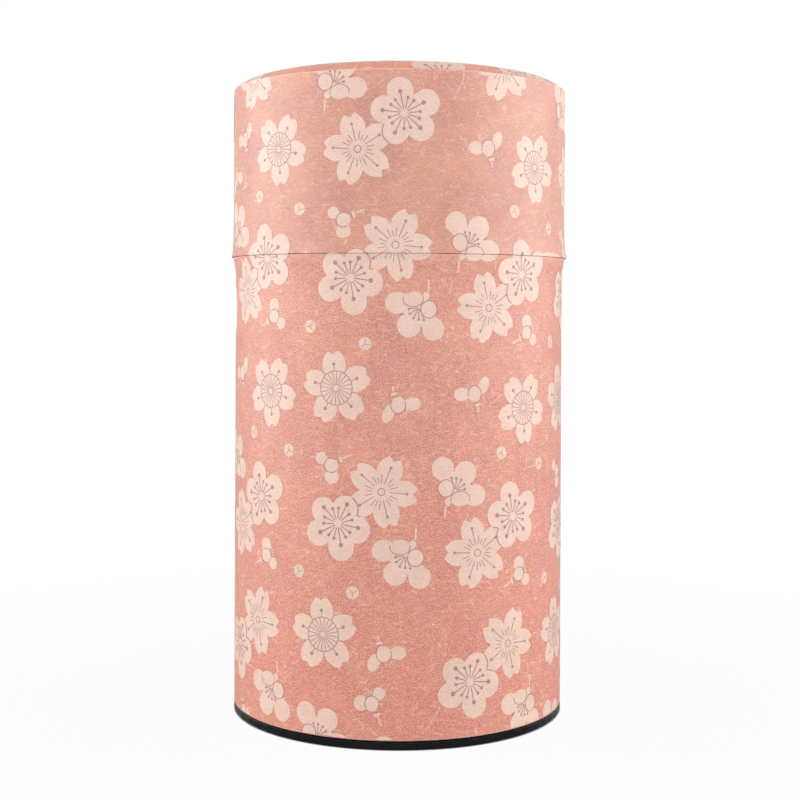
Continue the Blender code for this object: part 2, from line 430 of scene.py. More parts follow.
def print_finish(name, first, second, roughness, flat=False):
    """Petals, ink, and pale paper edges with painted highlights: two near tones on the grain."""
    made, tree = new_paper(name, roughness, paper_sheen, paper_gloss)
    place = sheet_place(tree, flat)[0]
    grain, crepe = washi_relief(tree, place)[:2]
    share = plus(tree, spread(tree, grain, 0.4, 0.7, 0.0, 0.5),
                 spread(tree, noise(tree, place, 190, 2.0, 0.5), 0.35, 0.65, 0.0, 0.5))
    tone = grained(tree, tint(tree, share, first, second), grain, crepe, 0.07)
    relief = plus(tree, times(tree, grain, 0.4), times(tree, crepe, 0.45))
    set_shader(tree, Base_Color=tone, Normal=bump(tree, relief, print_relief))
    return made


def strand_finish(name, tone):
    """Bare mulberry hair: one tone, with a grain in its gloss."""
    made, tree = new_material(name, Base_Color=tone, Sheen_Weight=0.2)
    grain = noise(tree, object_place(tree), 1800, 2.0)
    set_shader(tree, Roughness=spread(tree, grain, 0.3, 0.7, 0.45, 0.7))
    return made


def enamel(name, deep, fair, roughness):
    """Baked black lacquer with a faint orange peel and dust."""
    made, tree = new_material(name, Specular_IOR_Level=0.16)
    place = object_place(tree)
    peel = noise(tree, place, 900, 2.0)
    dust = spread(tree, noise(tree, place, 1400, 4.0, 0.7), 0.62, 0.8)
    set_shader(tree, Base_Color=tint(tree, dust, deep, fair), Normal=bump(tree, peel, enamel_relief),
               Roughness=spread(tree, peel, 0.3, 0.7, roughness, roughness + 0.12))
    return made


def tinplate(name, bright, dull, roughness, upright=True):
    """Rolled tinplate: fine drawn streaks, a bloom of dull patches and a few specks."""
    made, tree = new_material(name, Metallic=1.0, Anisotropic=0.35)
    place = object_place(tree)
    if upright:
        parts = split(tree, place)
        turn = times(tree, maths(tree, "ARCTAN2", parts["X"], parts["Y"]), 0.004)
        drawn = {"X": turn, "Y": parts["Z"]}
    else:
        drawn = {"X": distance_out(tree, place)}
    streak = noise(tree, node(tree, "CombineXYZ", drawn).outputs[0], 3200, 3.0, 0.6)
    bloom = noise(tree, place, 70, 3.0, 0.6, 0.5)
    speck = spread(tree, noise(tree, place, 1100, 3.0, 0.6), 0.68, 0.76)
    tone = tint(tree, spread(tree, bloom, 0.35, 0.7), bright, dull)
    rough = plus(tree, spread(tree, streak, 0.3, 0.7, roughness - 0.06, roughness + 0.06),
                 spread(tree, bloom, 0.4, 0.75, 0.0, 0.05))
    set_shader(tree, Base_Color=tint(tree, times(tree, speck, 0.4), tone, speck_tone),
               Roughness=rough, Normal=bump(tree, streak, tin_relief))
    return made


def smooth(share):
    share = min(max(share, 0.0), 1.0)
    return share * share * (3.0 - 2.0 * share)


def lap(angle):
    """How far the overlapping end of the paper stands out."""
    start = math.pi - overlap_width / pattern_radius
    return overlap_rise * smooth((angle - start) / (math.pi - start) * overlap_ramp)


def dent(angle, height):
    across = math.exp(-((angle - dent_angle) / dent_spread) ** 2)
    along = smooth((height - dent_low) / dent_low_fade) * smooth((dent_high - height) / dent_high_fade)
    return dent_depth * across * along


def swell(up, edge, flare):
    share = max(0.0, 1.0 - abs(edge - up) / swell_height)
    return flare * share ** swell_power


def turned_in(radius, start, past, size, way):
    """A point past the start of a rounded edge: round the quarter and then straight inwards."""
    turn = min(past / size, math.pi / 2)
    inward = max(0.0, past - size * math.pi / 2)
    out, up = math.cos(turn), math.sin(turn)
    return radius - size + size * out - inward, start + way * size * up, out, way * up


def body_skin(angle, up):
    """Radius, height and outward direction of the body's paper at a length up its outline."""
    if up <= body_turn_start:
        rise = swell(up, body_height, body_flare)
        return body_radius + rise + lap(angle) - dent(angle, up), up, 1.0, 0.0
    radius = body_radius + body_flare + lap(angle)
    return turned_in(radius, body_turn_start, up - body_turn_start, edge_round, 1.0)


def lid_skin(angle, up):
    """The same for the lid's side paper, which turns in at both ends."""
    if up < low_turn_start:
        radius = lid_radius + lid_flare + lap(angle)
        return turned_in(radius, low_turn_start, low_turn_start - up, edge_round, -1.0)
    radius = lid_radius + swell(up, lid_foot, lid_flare) + lap(angle)
    if up > high_turn_start:
        return turned_in(radius, high_turn_start, up - high_turn_start, crease_round, 1.0)
    return radius, up, 1.0, 0.0


def crown_height(radius):
    return crown_edge + crown_rise * (1.0 - (radius / lid_radius) ** crown_power) ** crown_curl


def on_side(skin, along, up, lift):
    """A flat drawing's point, in metres along and up, laid on a skin. Gives place and normal."""
    angle = along / pattern_radius
    radius, height, out, rise = skin(angle, up)
    ray = Vector((math.sin(angle), -math.cos(angle), 0.0))
    normal = ray * out + Vector((0.0, 0.0, rise))
    return ray * radius + Vector((0.0, 0.0, height)) + normal * lift, normal


def on_crown(across, along, lift):
    """The same for the crown, from a plan."""
    radius = math.hypot(across, along)
    share = min(radius, crown_rim) / lid_radius
    slope = (crown_curl * (1.0 - share ** crown_power) ** (crown_curl - 1.0) * crown_power
             * crown_rise / lid_radius * share ** (crown_power - 1))
    ray = Vector((across, along, 0.0)) / max(radius, 1e-9)
    normal = (ray * slope + Vector((0.0, 0.0, 1.0))).normalized()
    return Vector((across, along, crown_height(radius))) + normal * lift, normal


def mesh_of(name, shape):
    mesh = bpy.data.meshes.new(name)
    shape.to_mesh(mesh)
    shape.free()
    return mesh


def placed(name, data):
    """A new object in the scene that holds the data."""
    made = bpy.data.objects.new(name, data)
    bpy.context.scene.collection.objects.link(made)
    return made


def add_object(name, mesh, finishes, body, slot, *replaced):
    for finish in finishes:
        mesh.materials.append(finish)
    made = placed(name, mesh)
    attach(made, body)
    if replaced:
        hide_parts(*replaced)


def side_paper(name, skin, rows, closing, finishes, pale_rows, body, slot, replaced):
    """A paper round the tin: rows on the skin from below, then plain rings that close it."""
    angles = [-math.pi + 2 * math.pi * step / paper_steps for step in range(paper_steps + 1)]
    shape = bmesh.new()
    rings = []
    for up in rows:
        rings.append([shape.verts.new(on_side(skin, angle * pattern_radius, up, 0.0)[0])
                      for angle in angles])
    for radius, height in closing:
        rings.append([shape.verts.new((radius * math.sin(angle), -radius * math.cos(angle), height))
                      for angle in angles])
    rings.append(rings[0])
    for index, (low, high) in enumerate(zip(rings, rings[1:])):
        for column in range(paper_steps + 1):
            right = (column + 1) % (paper_steps + 1)
            face = shape.faces.new((low[column], low[right], high[right], high[column]))
            face.smooth = index < len(rows) - 1
            face.material_index = 1 if index in pale_rows else 0
    bmesh.ops.remove_doubles(shape, verts=shape.verts, dist=paper_weld)
    bmesh.ops.recalc_face_normals(shape, faces=shape.faces)
    add_object(name, mesh_of(name, shape), finishes, body, slot, replaced)


def turned(name, outline, finish, body, slot, replaced, steps):
    """A piece turned about the axis from an outline in metres."""
    shape = bmesh.new()
    points = [shape.verts.new((radius, 0.0, height)) for radius, height in outline]
    edges = [shape.edges.new(pair) for pair in zip(points, points[1:])]
    if outline[0][0] > 0.0:
        edges.append(shape.edges.new((points[-1], points[0])))
    bmesh.ops.spin(shape, geom=points + edges, cent=(0, 0, 0), axis=(0, 0, 1),
                   angle=2 * math.pi, steps=steps, use_merge=True)
    bmesh.ops.remove_doubles(shape, verts=shape.verts, dist=tin_weld)
    bmesh.ops.recalc_face_normals(shape, faces=shape.faces)
    mesh = mesh_of(name, shape)
    mesh.shade_smooth()
    mesh.set_sharp_from_angle(angle=sharp_edge)
    add_object(name, mesh, [finish], body, slot, replaced)


def evenly(low, high, count):
    return [low + (high - low) * step / count for step in range(count + 1)]


def closer_to_end(low, high, count):
    """Steps from low to high that get finer towards high."""
    return [high - (high - low) * (1.0 - step / count) ** 2 for step in range(count + 1)]


def round_rows(start, size, way):
    """Lengths up a skin round the quarter where its paper turns in."""
    return [start + way * size * math.pi / 2 * share for share in evenly(0.0, 1.0, 5)]


def polar(radius, degrees):
    return radius * math.cos(math.radians(degrees)), radius * math.sin(math.radians(degrees))


def placer(along, up, turn):
    """Turns a drawing's point, by degrees, and moves it to its place."""
    cosine, sine = math.cos(math.radians(turn)), math.sin(math.radians(turn))
    return lambda point: (along + point[0] * cosine - point[1] * sine,
                          up + point[0] * sine + point[1] * cosine)


def ring(radius, count):
    return [polar(radius, 360 * step / count) for step in range(count)]


def ellipse_reach(ellipse, degrees):
    """How far a ray from the origin goes before it leaves an ellipse, or 0 if it misses."""
    across, up, long_half, short_half, tilt = ellipse
    turn = math.radians(tilt)
    ray = math.radians(degrees) - turn
    centre_x = (across * math.cos(turn) + up * math.sin(turn)) / long_half
    centre_y = (up * math.cos(turn) - across * math.sin(turn)) / short_half
    ray_x, ray_y = math.cos(ray) / long_half, math.sin(ray) / short_half
    square = ray_x ** 2 + ray_y ** 2
    middle = (ray_x * centre_x + ray_y * centre_y) / square
    inside = middle ** 2 - (centre_x ** 2 + centre_y ** 2 - 1.0) / square
    return max(middle + math.sqrt(inside), 0.0) if inside > 0.0 else 0.0


def ellipse_points(ellipse, count):
    across, up, long_half, short_half, tilt = ellipse
    put = placer(across, up, tilt)
    angles = [2 * math.pi * step / count for step in range(count)]
    return [put((long_half * math.cos(angle), short_half * math.sin(angle))) for angle in angles]


def outline_of(ellipses, count):
    """The outline round several petals, as seen from the point where they meet."""
    points = []
    for step in range(count):
        degrees = 360 * step / count
        reach = max(ellipse_reach(ellipse, degrees) for ellipse in ellipses)
        points.append(polar(max(reach, least_reach), degrees))
    return points


def holds(outline, point):
    """Whether an outline goes round a point."""
    inside = False
    x, y = point
    for (ax, ay), (bx, by) in zip(outline, outline[1:] + outline[:1]):
        if (ay > y) != (by > y) and x < ax + (bx - ax) * (y - ay) / (by - ay):
            inside = not inside
    return inside


def stroke(start, end, start_width, end_width):
    """A straight stroke as pairs of points, left and right of its line."""
    length = math.dist(start, end)
    side = ((start[1] - end[1]) / length, (end[0] - start[0]) / length)
    pairs = []
    for share in evenly(0.0, 1.0, max(1, round(length / stroke_step))):
        x = start[0] + (end[0] - start[0]) * share
        y = start[1] + (end[1] - start[1]) * share
        half = (start_width + (end_width - start_width) * share) / 2
        pairs.append(((x + side[0] * half, y + side[1] * half),
                      (x - side[0] * half, y - side[1] * half)))
    return pairs


def band(points, width, closed=False):
    """A line of one width along points."""
    pairs = []
    last = len(points) - 1
    for index, (x, y) in enumerate(points):
        before = points[index - 1] if closed or index > 0 else points[index]
        after = points[(index + 1) % len(points)] if closed or index < last else points[index]
        length = math.dist(before, after) or 1.0
        side = ((before[1] - after[1]) / length * width / 2,
                (after[0] - before[0]) / length * width / 2)
        pairs.append(((x + side[0], y + side[1]), (x - side[0], y - side[1])))
    return pairs + pairs[:1] if closed else pairs


def arcs_where(points, width, wanted):
    """The stretches of a closed outline whose points are wanted, each as a band."""
    flags = [wanted(point) for point in points]
    if all(flags):
        return [band(points, width, closed=True)]
    start = flags.index(False)
    order = points[start:] + points[:start]
    bands, run = [], []
    for point, flag in zip(order + order[:1], flags[start:] + flags[:start] + [False]):
        if flag:
            run.append(point)
            continue
        if len(run) > 1:
            bands.append(band(run, width))
        run = []
    return bands


# A drawing is the petals' outlines, ink strokes, dots of ink and pale strokes, in millimetres.
# Petals are ellipses: across, up, half length, half width, tilt in degrees.
plum_petals = ((5.4, -0.3, 3.05, 3.05, 0), (1.6, 4.85, 2.95, 3.0, 0), (-3.5, 2.85, 3.1, 3.05, 0),
               (-3.6, -2.6, 3.0, 3.0, 0), (1.65, -4.6, 3.05, 3.05, 0), (0.0, 0.0, 4.7, 4.7, 0))
low_plum_petals = ((4.75, -0.5, 3.0, 3.1, 0), (1.25, 3.6, 3.0, 2.95, 0), (-3.95, 2.2, 3.0, 3.0, 0),
                   (-4.3, -3.1, 3.1, 2.95, 0), (1.65, -5.1, 3.1, 3.1, 0), (0.0, 0.0, 4.7, 4.7, 0))
# Half of a cherry petal's outline: degrees off its middle, and reach
cherry_half = ((0, 7.2), (3.5, 7.65), (8.6, 8.25), (11.5, 8.05), (15, 7.7), (20, 7.2), (25, 6.65),
               (29.5, 6.0), (33, 5.4), (36, 4.8))
ring_cherry_half = ((0, 7.6), (3.5, 7.95), (8.6, 8.35), (12, 8.15), (16, 7.75), (20, 7.3), (24, 6.8),
                    (28, 6.15), (32, 5.4), (36, 4.7))


def blank(outline):
    return {"petals": [((0.0, 0.0), outline)], "ink": [], "dots": [], "pale": []}


def ink_ray(drawing, angle, start, end, start_width, end_width):
    drawing["ink"].append(stroke(polar(start, angle), polar(end, angle), start_width, end_width))


def dotted(drawing, angle, start, end, width, dot):
    """A stamen: a stroke that ends in a dot."""
    ink_ray(drawing, angle, start, end, width * 0.8, width)
    centre = polar(end + dot * 0.5, angle)
    drawing["dots"].append((centre, [(centre[0] + x, centre[1] + y) for x, y in ring(dot, 12)]))


def cherry_outline(half):
    points = []
    for number in range(5):
        left = [polar(reach, 72 * number - off) for off, reach in reversed(half[1:])]
        right = [polar(reach, 72 * number + off) for off, reach in half[:-1]]
        points += left + right
    return points


def draw_open(outline, circles, *marks):
    """An open blossom: its outline, inked circles and marks repeated by petal."""
    drawing = blank(outline)
    for radius, count, width in circles:
        drawing["ink"].append(band(ring(radius, count), width, closed=True))
    for marked in marks:
        for number in range(5):
            for draw, off, *sizes in marked:
                draw(drawing, 72 * number + off, *sizes)
    return drawing


def draw_side_plum():
    """A plum blossom half turned away, with its calyx and stem below."""
    large = [(-3.0, 5.0, 2.6, 2.6, 0), (2.45, 3.9, 2.7, 2.7, 0), (4.85, -1.2, 2.75, 2.45, 0)]
    left, low = (-2.25, 0.6, 1.85, 1.95, 0), (1.2, -1.85, 2.3, 1.68, 0)
    calyx, heart = (-1.75, -2.45, 0.75, 0.85, 10), (0.9, 1.4, 2.6, 3.0, 0)
    drawing = blank(outline_of(large + [left, low, calyx, heart], 180))
    drawing["pale"].append(stroke((-2.3, -3.3), (-2.5, -6.0), 0.38, 0.42))
    drawing["ink"] += arcs_where(ellipse_points(left, 40), 0.2, lambda point: True)
    drawing["ink"] += arcs_where(ellipse_points(low, 40), 0.2, lambda point: point[1] > low[1] - 0.7)
    drawing["ink"].append(stroke((-0.35, 5.2), (-0.25, 4.2), 0.16, 0.12))
    drawing["ink"].append(stroke((4.3, 1.7), (3.5, 1.25), 0.16, 0.12))
    for angle, end in ((109, 2.9), (86, 2.6), (60, 2.6), (33, 2.4), (7, 2.15)):
        dotted(drawing, angle, 0.35, end, 0.22, 0.3)
    return drawing


def draw_bee(front, sides, hairs, stem):
    """A small plum blossom seen from the side, with its calyx and stem below."""
    drawing = blank(outline_of([front] + sides, 120))
    drawing["ink"] += arcs_where(ellipse_points(front, 36), 0.2,
                                 lambda point: point[1] > -1.0 - 0.2 * point[0])
    drawing["petals"].append(((0.85, -2.3), ellipse_points((0.85, -2.3, 0.75, 0.45, 15), 14)))
    drawing["ink"].append(band([(0.05, -1.85), (0.5, -1.95), (1.0, -1.9), (1.5, -1.6)], 0.18))
    drawing["pale"].append(stroke(*stem, 0.36, 0.4))
    for angle in hairs:
        drawing["pale"].append(stroke(polar(2.15, angle), polar(3.1, angle), 0.16, 0.26))
    return drawing


def draw_bud():
    drawing = blank(ellipse_points((0.0, 0.0, 1.5, 1.45, 0), 22))
    for angle in (90, 215, 320):
        drawing["ink"].append(stroke((0.0, 0.1), polar(1.15, angle), 0.16, 0.14))
    return drawing


# Marks: what draws them, degrees off a petal's middle, start, end, and widths or width and dot
plum_marks = ((dotted, 0, 0.9, 4.6, 0.27, 0.52), (dotted, 24, 1.0, 3.3, 0.24, 0.38),
              (dotted, 48, 1.0, 3.3, 0.24, 0.38))
cherry_marks = ((dotted, 0, 1.9, 5.6, 0.22, 0.34), (ink_ray, 20, 2.0, 3.9, 0.15, 0.2),
                (ink_ray, 52, 2.0, 3.9, 0.15, 0.2), (ink_ray, 36, 2.0, 3.3, 0.15, 0.2))
inner_rays = [(ink_ray, off, 1.0, 3.75, 0.14, 0.2) for off in (9, 27, 45, 63)]
outer_marks = ((dotted, 0, 3.95, 5.2, 0.2, 0.4), (ink_ray, 36, 3.95, 5.0, 0.18, 0.22))
drawings = {
    "plum": draw_open(outline_of(plum_petals, 120), (), plum_marks),
    "low_plum": draw_open(outline_of(low_plum_petals, 120), (), plum_marks),
    "cherry": draw_open(cherry_outline(cherry_half), [(0.8, 20, 0.2)], cherry_marks),
    "ring_cherry": draw_open(cherry_outline(ring_cherry_half), [(0.83, 20, 0.18), (3.85, 48, 0.2)],
                             inner_rays, outer_marks),
    "side_plum": draw_side_plum(),
    "bee": draw_bee((0.05, 0.15, 1.7, 1.85, 0), [(-3.2, 0.1, 1.85, 1.5, 0), (2.35, 1.9, 2.2, 1.32, 62)],
                    (98, 112, 126, 140), ((0.95, -3.0), (1.05, -4.1))),
    "long_bee": draw_bee((0.0, 0.2, 1.62, 1.7, 0), [(-2.5, 0.6, 1.6, 1.75, 0), (1.95, 2.3, 1.42, 1.42, 0)],
                         (88, 100, 112, 124), ((1.0, -2.9), (1.5, -5.0))),
    "bud": draw_bud(),
}


def seen(column, row):
    """Where a pixel of the photograph lies on the unrolled tin, in millimetres."""
    side, down = column - horizon_column, row - horizon_row
    across = (side * math.cos(camera_roll) + down * math.sin(camera_roll)) / focal_pixels
    fall = (down * math.cos(camera_roll) - side * math.sin(camera_roll)) / focal_pixels
    radius = lid_radius if row < joint_row else body_radius
    square = across ** 2 + 1.0
    room = camera_back ** 2 - square * (camera_back ** 2 - radius ** 2)
    depth = (camera_back - math.sqrt(max(room, 0.0))) / square
    angle = math.atan2(across * depth, camera_back - depth)
    return angle * pattern_radius / MM, (camera_height - fall * depth) / MM


def repeated():
    """Every blossom on the unrolled sheet: kind, along, up, turn and which repeat it is in."""
    found = []
    for name, (kind, column, row, turn) in blossoms.items():
        along, up = seen(column, row)
        for number in range(-3, 4):
            here = along + number * repeat_along
            if unrepeated.get(name) != number and abs(here) < half_round + blossom_reach:
                found.append((kind, here, up + number * repeat_up, turn, number))
    for kind, column, row, turn in single_blossoms.values():
        found.append((kind, *seen(column, row), turn, 0))
    return found


def as_drawn(point):
    return point


def flat_fan(shape, centre, outline, lift, put=as_drawn):
    """Fills an outline with rings of faces round its centre. Returns the faces."""
    reach = max(math.dist(centre, point) for point in outline)
    count = max(1, round(reach / fan_step))
    rings = []
    for level in range(1, count + 1):
        share = level / count
        rings.append([shape.verts.new(put((centre[0] + (x - centre[0]) * share,
                      centre[1] + (y - centre[1]) * share)) + (lift,)) for x, y in outline])
    middle = shape.verts.new(put(centre) + (lift,))
    faces = []
    for index in range(len(outline)):
        after = (index + 1) % len(outline)
        faces.append(shape.faces.new((middle, rings[0][index], rings[0][after])))
        for inner, outer in zip(rings, rings[1:]):
            faces.append(shape.faces.new((inner[index], outer[index], outer[after], inner[after])))
    return faces


def flat_strip(shape, pairs, lift, put=as_drawn):
    """Fills a stroke between its pairs of points. Returns the faces."""
    made = [[shape.verts.new(put(point) + (lift,)) for point in pair] for pair in pairs]
    return [shape.faces.new((left, right, next_right, next_left))
            for (left, right), (next_left, next_right) in zip(made, made[1:])]


def inked(faces):
    for face in faces:
        face.material_index = 1


def draw_flat(shape, blossom, under):
    """Draws one blossom flat, with x along, y up and z the lift, in millimetres."""
    kind, along, up, turn = blossom[:4]
    put = placer(along, up, turn)
    drawing = drawings[kind]
    raised = upper_lift / MM if under else 0.0
    petals, ink, step = petal_lift / MM + raised, ink_lift / MM + raised, layer_step / MM
    for index, (centre, outline) in enumerate(drawing["petals"]):
        flat_fan(shape, centre, outline, petals + index * step, put)
    for index, pairs in enumerate(drawing["pale"]):
        flat_strip(shape, pairs, petals + (index + pale_above) * step, put)
    for index, pairs in enumerate(drawing["ink"]):
        inked(flat_strip(shape, pairs, ink + (index % 4) * step, put))
    for index, (centre, outline) in enumerate(drawing["dots"]):
        inked(flat_fan(shape, centre, outline, ink + (index % 3 + dots_above) * step, put))
    if under:
        outline = [put(point) for point in drawing["petals"][0][1]]
        for pairs in arcs_where(outline, line_over,
                                lambda point: any(holds(low, point) for low in under)):
            inked(flat_strip(shape, pairs, ink + line_above * step))


def cherries_near(found, blossom):
    """Outlines of the cherry blossoms that a plum blossom lies over."""
    if blossom[0] not in ("plum", "low_plum"):
        return []
    outline = cherry_outline(cherry_half)
    return [[placer(*other[1:4])(point) for point in outline] for other in found
            if other[0] == "cherry" and math.dist(other[1:3], blossom[1:3]) < cherry_near]


def cut_flat(shape, point, way, keep_inside=True):
    """Cuts the flat drawing along a line, and drops what lies past it if asked."""
    everything = list(shape.verts) + list(shape.edges) + list(shape.faces)
    bmesh.ops.bisect_plane(shape, geom=everything, plane_co=point + (0.0,), plane_no=way + (0.0,),
                           clear_outer=keep_inside, dist=cut_near)


def cut_round(shape, radius, sides=72):
    for side in range(sides):
        angle = 2 * math.pi * side / sides
        way = (math.cos(angle), math.sin(angle))
        cut_flat(shape, (radius * way[0], radius * way[1]), way)


def lay_down(name, shape, lay, finishes, body, slot):
    """Lays a flat drawing on the tin as a piece of its own, with the skin's own normals."""
    for face in shape.faces:
        face.normal_update()
        if face.normal.z < 0.0:
            face.normal_flip()
    normals = []
    shape.verts.index_update()
    for vert in shape.verts:
        place, normal = lay(vert.co.x * MM, vert.co.y * MM, vert.co.z * MM)
        vert.co = place
        normals.append(normal.normalized())
    mesh = mesh_of(name, shape)
    mesh.shade_smooth()
    mesh.normals_split_custom_set_from_vertices(normals)
    add_object(name, mesh, finishes, body, slot)


def lay_on_side(name, shape, side, low, high, finishes):
    """Cuts a flat drawing at a side paper's edges and along its fine rows, and lays it down."""
    skin, fine_rows, body, slot = side
    cut_flat(shape, (0.0, low / MM), (0.0, -1.0))
    cut_flat(shape, (0.0, high / MM), (0.0, 1.0))
    cut_flat(shape, (half_round - seam_clear, 0.0), (1.0, 0.0))
    cut_flat(shape, (seam_clear - half_round, 0.0), (-1.0, 0.0))
    for row in fine_rows:
        cut_flat(shape, (0.0, row / MM), (0.0, 1.0), keep_inside=False)
    if shape.faces:
        lay_down(name, shape, partial(on_side, skin), finishes, body, slot)
    else:
        shape.free()


def lay_prints(found, name, side, low, high, finishes):
    """The prints of one paper, as one piece for each repeat of the pattern."""
    for number in sorted({blossom[4] for blossom in found}):
        shape = bmesh.new()
        for blossom in found:
            off_paper = blossom[2] + blossom_reach < low / MM or blossom[2] - blossom_reach > high / MM
            if blossom[4] == number and not off_paper:
                draw_flat(shape, blossom, cherries_near(found, blossom))
        if number == 0 and side is lid_side:
            draw_petal_end(shape)
        lay_on_side(f"{name}_{number + 4}", shape, side, low, high, finishes)


def draw_strands(shape, hairs, left, right, low, high):
    """Loose mulberry hairs, lying any way and gently curled."""
    count, seed = hairs
    chance = random.Random(seed)
    for number in range(count):
        x, y = chance.uniform(left, right), chance.uniform(low, high)
        heading = chance.gauss(0.0, hair_heading)
        heading += math.pi / 2 if chance.random() < upright_share else 0.0
        length = hair_shortest + hair_longer * chance.random() ** 2
        length += hair_longest if chance.random() < longest_share else 0.0
        bend = chance.gauss(0.0, hair_bend)
        broad = chance.random() < broad_share
        length += broad_longer if broad else 0.0
        points = []
        for step in range(max(4, round(length / hair_step))):
            points.append((x, y))
            x += hair_step * math.cos(heading)
            y += hair_step * math.sin(heading)
            bend += chance.gauss(0.0, hair_wander)
            heading += bend * hair_step
        width = chance.uniform(*(broad_width if broad else fine_width))
        flat_strip(shape, band(points, width), strand_lift / MM + (number % 5) * layer_step / MM)


def draw_petal_end(shape):
    """The cut end of a petal that shows just above the joint at the right."""
    outline = []
    for column, row in petal_end:
        x, y = seen(column, min(row, joint_row - 0.01))
        outline.append((x, y if row < joint_row else lid_foot / MM - 1.0))
    middle = (sum(x for x, y in outline) / len(outline), sum(y for x, y in outline) / len(outline))
    flat_fan(shape, middle, outline, petal_lift / MM)


def draw_marks(shape):
    """A wrinkle, as a painted highlight beside a painted shade line, and the longest fibres."""
    wrinkle_highlight = [seen(*spot) for spot in wrinkle]
    foot = [(x - wrinkle_shade_offset, y) for x, y in wrinkle_highlight[:-1]]
    lift = strand_lift / MM + wrinkle_above * layer_step / MM
    # The pale strip is a painted highlight, the dark line beside it painted shade in the ink finish
    flat_strip(shape, band(wrinkle_highlight, wrinkle_highlight_width), lift)
    inked(flat_strip(shape, band(foot, wrinkle_shade_width), lift))
    for spots in long_fibres.values():
        flat_strip(shape, band([seen(*spot) for spot in spots], fibre_width),
                   strand_lift / MM + fibres_above * layer_step / MM)


def lay_strands(name, side, low, high, hairs, finishes):
    shape = bmesh.new()
    draw_strands(shape, hairs, -half_round, half_round, low / MM, high / MM)
    if side is lid_side:
        draw_marks(shape)
    lay_on_side(name, shape, side, low, high, finishes)


def lay_crown_prints(found, finishes, strand):
    """The crown's own cut of the roll, and its hairs."""
    edge = (crown_rim - crown_clear) / MM
    shape = bmesh.new()
    put = placer(0.0, 0.0, crown_turn)
    moved = [(kind, *put((along - crown_along, up - crown_up)), turn + crown_turn)
             for kind, along, up, turn, number in found]
    for blossom in moved:
        if math.hypot(blossom[1], blossom[2]) < edge + blossom_reach:
            draw_flat(shape, blossom, cherries_near(moved, blossom))
    cut_round(shape, edge)
    lay_down("print_crown", shape, on_crown, finishes, "outer_lid", "top_washi")
    shape = bmesh.new()
    draw_strands(shape, crown_hairs, -edge, edge, -edge, edge)
    cut_round(shape, edge)
    lay_down("hairs_crown", shape, on_crown, [strand], "outer_lid", "top_washi")


def crown_sheet(finish):
    """The crown's paper, which ends in a small rounded rim inside the side paper's edge."""
    flat_part, last = flat_share * lid_radius, crown_rim - rim_drop * paper
    rings = evenly(0.0, flat_part, 12) + closer_to_end(flat_part, last, 20)[1:]
    upper = [(radius, crown_height(radius)) for radius in rings]
    top = crown_height(crown_rim)
    rim = [(crown_rim - rim_corner[0] * paper, top - rim_corner[1] * paper),
           (crown_rim, top - rim_drop * paper), (crown_rim, crown_edge)]
    under = [(radius, crown_height(radius) - paper) for radius in rings[::-1]]
    turned("crown_paper", upper + rim + under, finish, "outer_lid", "top_washi", "lid_top_paper",
           steps=paper_steps)


def corner(radius, height, size, start, stop, steps=8):
    """Points of a round corner, from one angle to another, in degrees."""
    points = [polar(size, angle) for angle in evenly(start, stop, steps)]
    return [(radius + x, height + y) for x, y in points]


def pressed_ring(middle, level):
    """A round ring pressed up in a flat panel, from the inside out."""
    return [(middle + share * bead_half,
             level + bead_depth * (0.5 + 0.5 * math.cos(math.pi * share)))
            for share in evenly(-1.0, 1.0, 14)]


def curved(points, count=5):
    """A smooth line through points."""
    line = []
    padded = [points[0]] + list(points) + [points[-1]]
    for before, start, end, after in zip(padded, padded[1:], padded[2:], padded[3:]):
        for share in evenly(0.0, 1.0, count)[:-1]:
            line.append(tuple(
                0.5 * (2 * b + (c - a) * share + (2 * a - 5 * b + 4 * c - d) * share ** 2
                       + (3 * b - a - 3 * c + d) * share ** 3)
                for a, b, c, d in zip(before, start, end, after)))
    return line + [points[-1]]


def turn_sleeve(finish):
    """The inner tube, with the lip of its neck rounded."""
    half = tin_sheet / 2
    lip = corner(sleeve_radius - half, sleeve_high.z - half, half, 0, 180)
    foot = [(sleeve_radius - tin_sheet, sleeve_low.z), (sleeve_radius, sleeve_low.z)]
    turned("neck_sleeve", foot + lip, finish, "tin_body", "sleeve_tinplate", "inner_sleeve",
           steps=tin_steps)


def turn_dish(finish):
    """The inner lid's pressed dish with its rolled rim."""
    plug = sleeve_radius - tin_sheet - slide_gap
    bore = plug - tin_sheet
    level, top = pan_low.z, pan_high.z
    middle = bead_share * plug
    rim = corner(pan_high.x - tin_sheet, top - tin_sheet, tin_sheet, -90, 90)
    rim += corner(bore + tin_sheet, top - tin_sheet, tin_sheet, 90, 180)
    inside = corner(plug - plug_round, level + plug_round, plug_round - tin_sheet, 0, -90)
    panel = pressed_ring(middle, level + tin_sheet)[::-1] + [(rivet_hole, level + tin_sheet)]
    under = [(rivet_hole, level)] + pressed_ring(middle, level)
    outside = corner(plug - plug_round, level + plug_round, plug_round, -90, 0)
    turned("inner_lid_dish", rim + inside + panel + under + outside + [(plug, top - 2 * tin_sheet)],
           finish, "inner_lid", "pan_tinplate", "inner_lid_pan", steps=tin_steps)


def turn_knob(finish):
    low, tall = knob_low.z, knob_high.z - knob_low.z
    bore = [(0.0, low + knob_bore), (rivet_hole, low + knob_bore), (rivet_hole, low)]
    face = curved([(knob_high.x * across, low + tall * up) for across, up in knob_shares])
    turned("inner_lid_grip", bore + face, finish, "inner_lid", "knob_black", "inner_lid_knob",
           steps=knob_steps)


